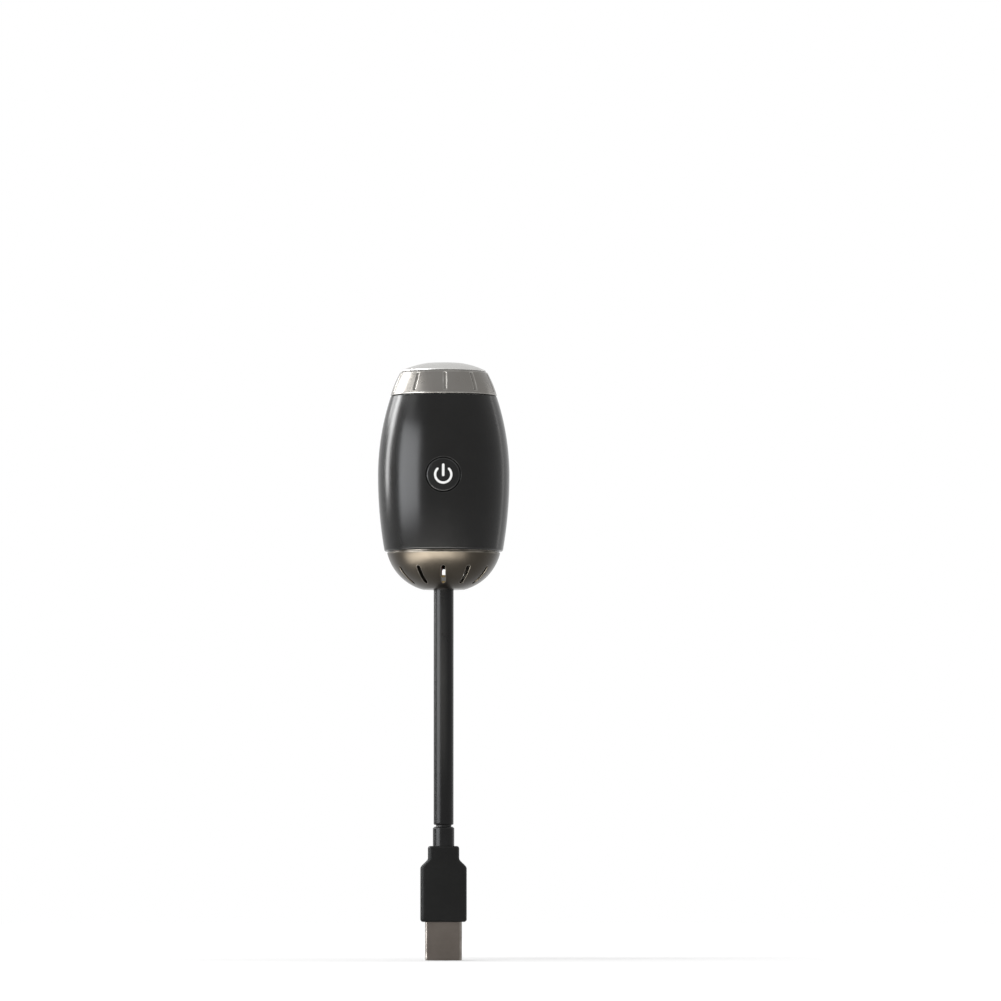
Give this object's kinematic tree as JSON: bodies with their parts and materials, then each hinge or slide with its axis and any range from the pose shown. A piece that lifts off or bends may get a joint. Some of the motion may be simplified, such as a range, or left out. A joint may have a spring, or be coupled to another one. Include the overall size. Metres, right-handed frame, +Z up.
{
  "type": "planetarium projector",
  "caption": "Small star projector head with a focus ring and a push button, on a bendable neck that stands on a rectangular power plug.",
  "frame": {"origin": "middle of the plug's shoulder, the flat face of the overmould that the metal plug stands out of", "axes": "+Z up along the straight neck, where the light leaves; -Y towards the power button; +X to the right seen from the button"},
  "size_m": [0.043, 0.0431, 0.1948],
  "materials": {
    "plug_metal": "pressed sheet, satin",
    "tongue_plastic": "plain",
    "contact_metal": "plated",
    "overmould_plastic": "fine grain",
    "collar_metal": "satin black",
    "core_metal": "wound",
    "lead_jacket": "plain",
    "ferrule_metal": "turned",
    "clamp_metal": "pressed",
    "screw_metal": "plated",
    "cap_plastic": "satin",
    "shell_plastic": "satin",
    "button_plastic": "satin",
    "ring_metal": "fine turned",
    "washer_plastic": "plain",
    "drag_rubber": "plain",
    "bezel_plastic": "satin",
    "window_clear": "clear",
    "sink_metal": "plain",
    "board_laminate": "plain",
    "emitter_resin": "clear dome",
    "tube_plastic": "plain black",
    "lens_glass": "clear",
    "film": "printed",
    "pin_metal": "plain",
    "switch_plastic": "plain",
    "chip_resin": "plain",
    "coil_body": "plain",
    "capacitor_body": "plain",
    "sleeve_rubber": "smooth satin"
  },
  "bodies": {
    "plug": {"plug_shell": "plug_metal", "plug_tongue": "tongue_plastic", "plug_contacts": "contact_metal", "plug_overmould": "overmould_plastic", "neck_collar": "collar_metal", "gooseneck_core": "core_metal", "neck_leads": "lead_jacket", "neck_sleeve_00": "sleeve_rubber"},
    "neck_link_01": {"neck_sleeve_01": "sleeve_rubber"},
    "neck_link_02": {"neck_sleeve_02": "sleeve_rubber"},
    "neck_link_03": {"neck_sleeve_03": "sleeve_rubber"},
    "neck_link_04": {"neck_sleeve_04": "sleeve_rubber"},
    "neck_link_05": {"neck_sleeve_05": "sleeve_rubber"},
    "neck_link_06": {"neck_sleeve_06": "sleeve_rubber"},
    "neck_link_07": {"neck_sleeve_07": "sleeve_rubber"},
    "neck_link_08": {"neck_sleeve_08": "sleeve_rubber"},
    "neck_link_09": {"neck_sleeve_09": "sleeve_rubber"},
    "neck_link_10": {"neck_sleeve_10": "sleeve_rubber"},
    "neck_link_11": {"neck_sleeve_11": "sleeve_rubber"},
    "head": {"neck_ferrule": "ferrule_metal", "neck_clamp": "clamp_metal", "clamp_screws": "screw_metal", "head_leads": "lead_jacket", "base_cap": "cap_plastic", "body_shell": "shell_plastic", "thrust_washer": "washer_plastic", "drag_ring": "drag_rubber", "top_bezel": "bezel_plastic", "front_window": "window_clear", "heat_sink": "sink_metal", "led_board": "board_laminate", "led_emitter": "emitter_resin", "optics_tube": "tube_plastic", "condenser_lens": "lens_glass", "spacer_tube": "tube_plastic", "slide_holder": "tube_plastic", "film_slide": "film", "slide_retainer": "tube_plastic", "frame_screws": "screw_metal", "driver_board": "board_laminate", "tact_switch": "switch_plastic", "driver_chip": "chip_resin", "driver_coil": "coil_body", "board_capacitors": "capacitor_body", "led_leads": "pin_metal", "neck_sleeve_12": "sleeve_rubber"},
    "focus_ring": {"focus_ring": "ring_metal"},
    "lens_carriage": {"lens_barrel": "tube_plastic", "cam_pins": "pin_metal", "projection_lens": "lens_glass", "lens_retainer": "tube_plastic"},
    "power_button": {"power_button": "button_plastic", "switch_plunger": "switch_plastic"}
  },
  "joints": [
    {"name": "neck_side_1", "type": "hinge", "parent": "plug", "child": "neck_link_01", "pos_m": [0, 0, 0.034], "axis": [0, 1, 0], "range_deg": [-17.5, 17.5], "deforming": ["gooseneck_core", "neck_leads"]},
    {"name": "neck_nod_1", "type": "hinge", "parent": "neck_link_01", "child": "neck_link_02", "pos_m": [0, 0, 0.0404], "axis": [1, 0, 0], "range_deg": [-17.5, 17.5], "deforming": ["gooseneck_core", "neck_leads"]},
    {"name": "neck_side_2", "type": "hinge", "parent": "neck_link_02", "child": "neck_link_03", "pos_m": [0, 0, 0.0468], "axis": [0, 1, 0], "range_deg": [-17.5, 17.5], "deforming": ["gooseneck_core", "neck_leads"]},
    {"name": "neck_nod_2", "type": "hinge", "parent": "neck_link_03", "child": "neck_link_04", "pos_m": [0, 0, 0.0532], "axis": [1, 0, 0], "range_deg": [-17.5, 17.5], "deforming": ["gooseneck_core", "neck_leads"]},
    {"name": "neck_side_3", "type": "hinge", "parent": "neck_link_04", "child": "neck_link_05", "pos_m": [0, 0, 0.0596], "axis": [0, 1, 0], "range_deg": [-17.5, 17.5], "deforming": ["gooseneck_core", "neck_leads"]},
    {"name": "neck_nod_3", "type": "hinge", "parent": "neck_link_05", "child": "neck_link_06", "pos_m": [0, 0, 0.066], "axis": [1, 0, 0], "range_deg": [-17.5, 17.5], "deforming": ["gooseneck_core", "neck_leads"]},
    {"name": "neck_side_4", "type": "hinge", "parent": "neck_link_06", "child": "neck_link_07", "pos_m": [0, 0, 0.0724], "axis": [0, 1, 0], "range_deg": [-17.5, 17.5], "deforming": ["gooseneck_core", "neck_leads"]},
    {"name": "neck_nod_4", "type": "hinge", "parent": "neck_link_07", "child": "neck_link_08", "pos_m": [0, 0, 0.0788], "axis": [1, 0, 0], "range_deg": [-17.5, 17.5], "deforming": ["gooseneck_core", "neck_leads"]},
    {"name": "neck_side_5", "type": "hinge", "parent": "neck_link_08", "child": "neck_link_09", "pos_m": [0, 0, 0.0852], "axis": [0, 1, 0], "range_deg": [-17.5, 17.5], "deforming": ["gooseneck_core", "neck_leads"]},
    {"name": "neck_nod_5", "type": "hinge", "parent": "neck_link_09", "child": "neck_link_10", "pos_m": [0, 0, 0.0916], "axis": [1, 0, 0], "range_deg": [-17.5, 17.5], "deforming": ["gooseneck_core", "neck_leads"]},
    {"name": "neck_side_6", "type": "hinge", "parent": "neck_link_10", "child": "neck_link_11", "pos_m": [0, 0, 0.098], "axis": [0, 1, 0], "range_deg": [-17.5, 17.5], "deforming": ["gooseneck_core", "neck_leads"]},
    {"name": "neck_nod_6", "type": "hinge", "parent": "neck_link_11", "child": "head", "pos_m": [0, 0, 0.1044], "axis": [1, 0, 0], "range_deg": [-17.5, 17.5], "deforming": ["gooseneck_core", "neck_leads"]},
    {"name": "focus_turn", "type": "hinge", "parent": "head", "child": "focus_ring", "pos_m": [0, 0, 0.1754], "axis": [0, 0, 1], "range_deg": [-60, 60]},
    {"name": "lens_slide", "type": "slide", "parent": "head", "child": "lens_carriage", "axis": [0, 0, 1], "range_m": [-0.0015, 0.0015]},
    {"name": "button_press", "type": "slide", "parent": "head", "child": "power_button", "axis": [0, 1, 0], "range_m": [0, 0.0006], "stiffness_N_per_m": 900, "springref_m": -0.0006}
  ],
  "couplings": [
    {"joint": "lens_slide", "follows": "focus_turn", "m_per_rad": 0.0014324}
  ]
}
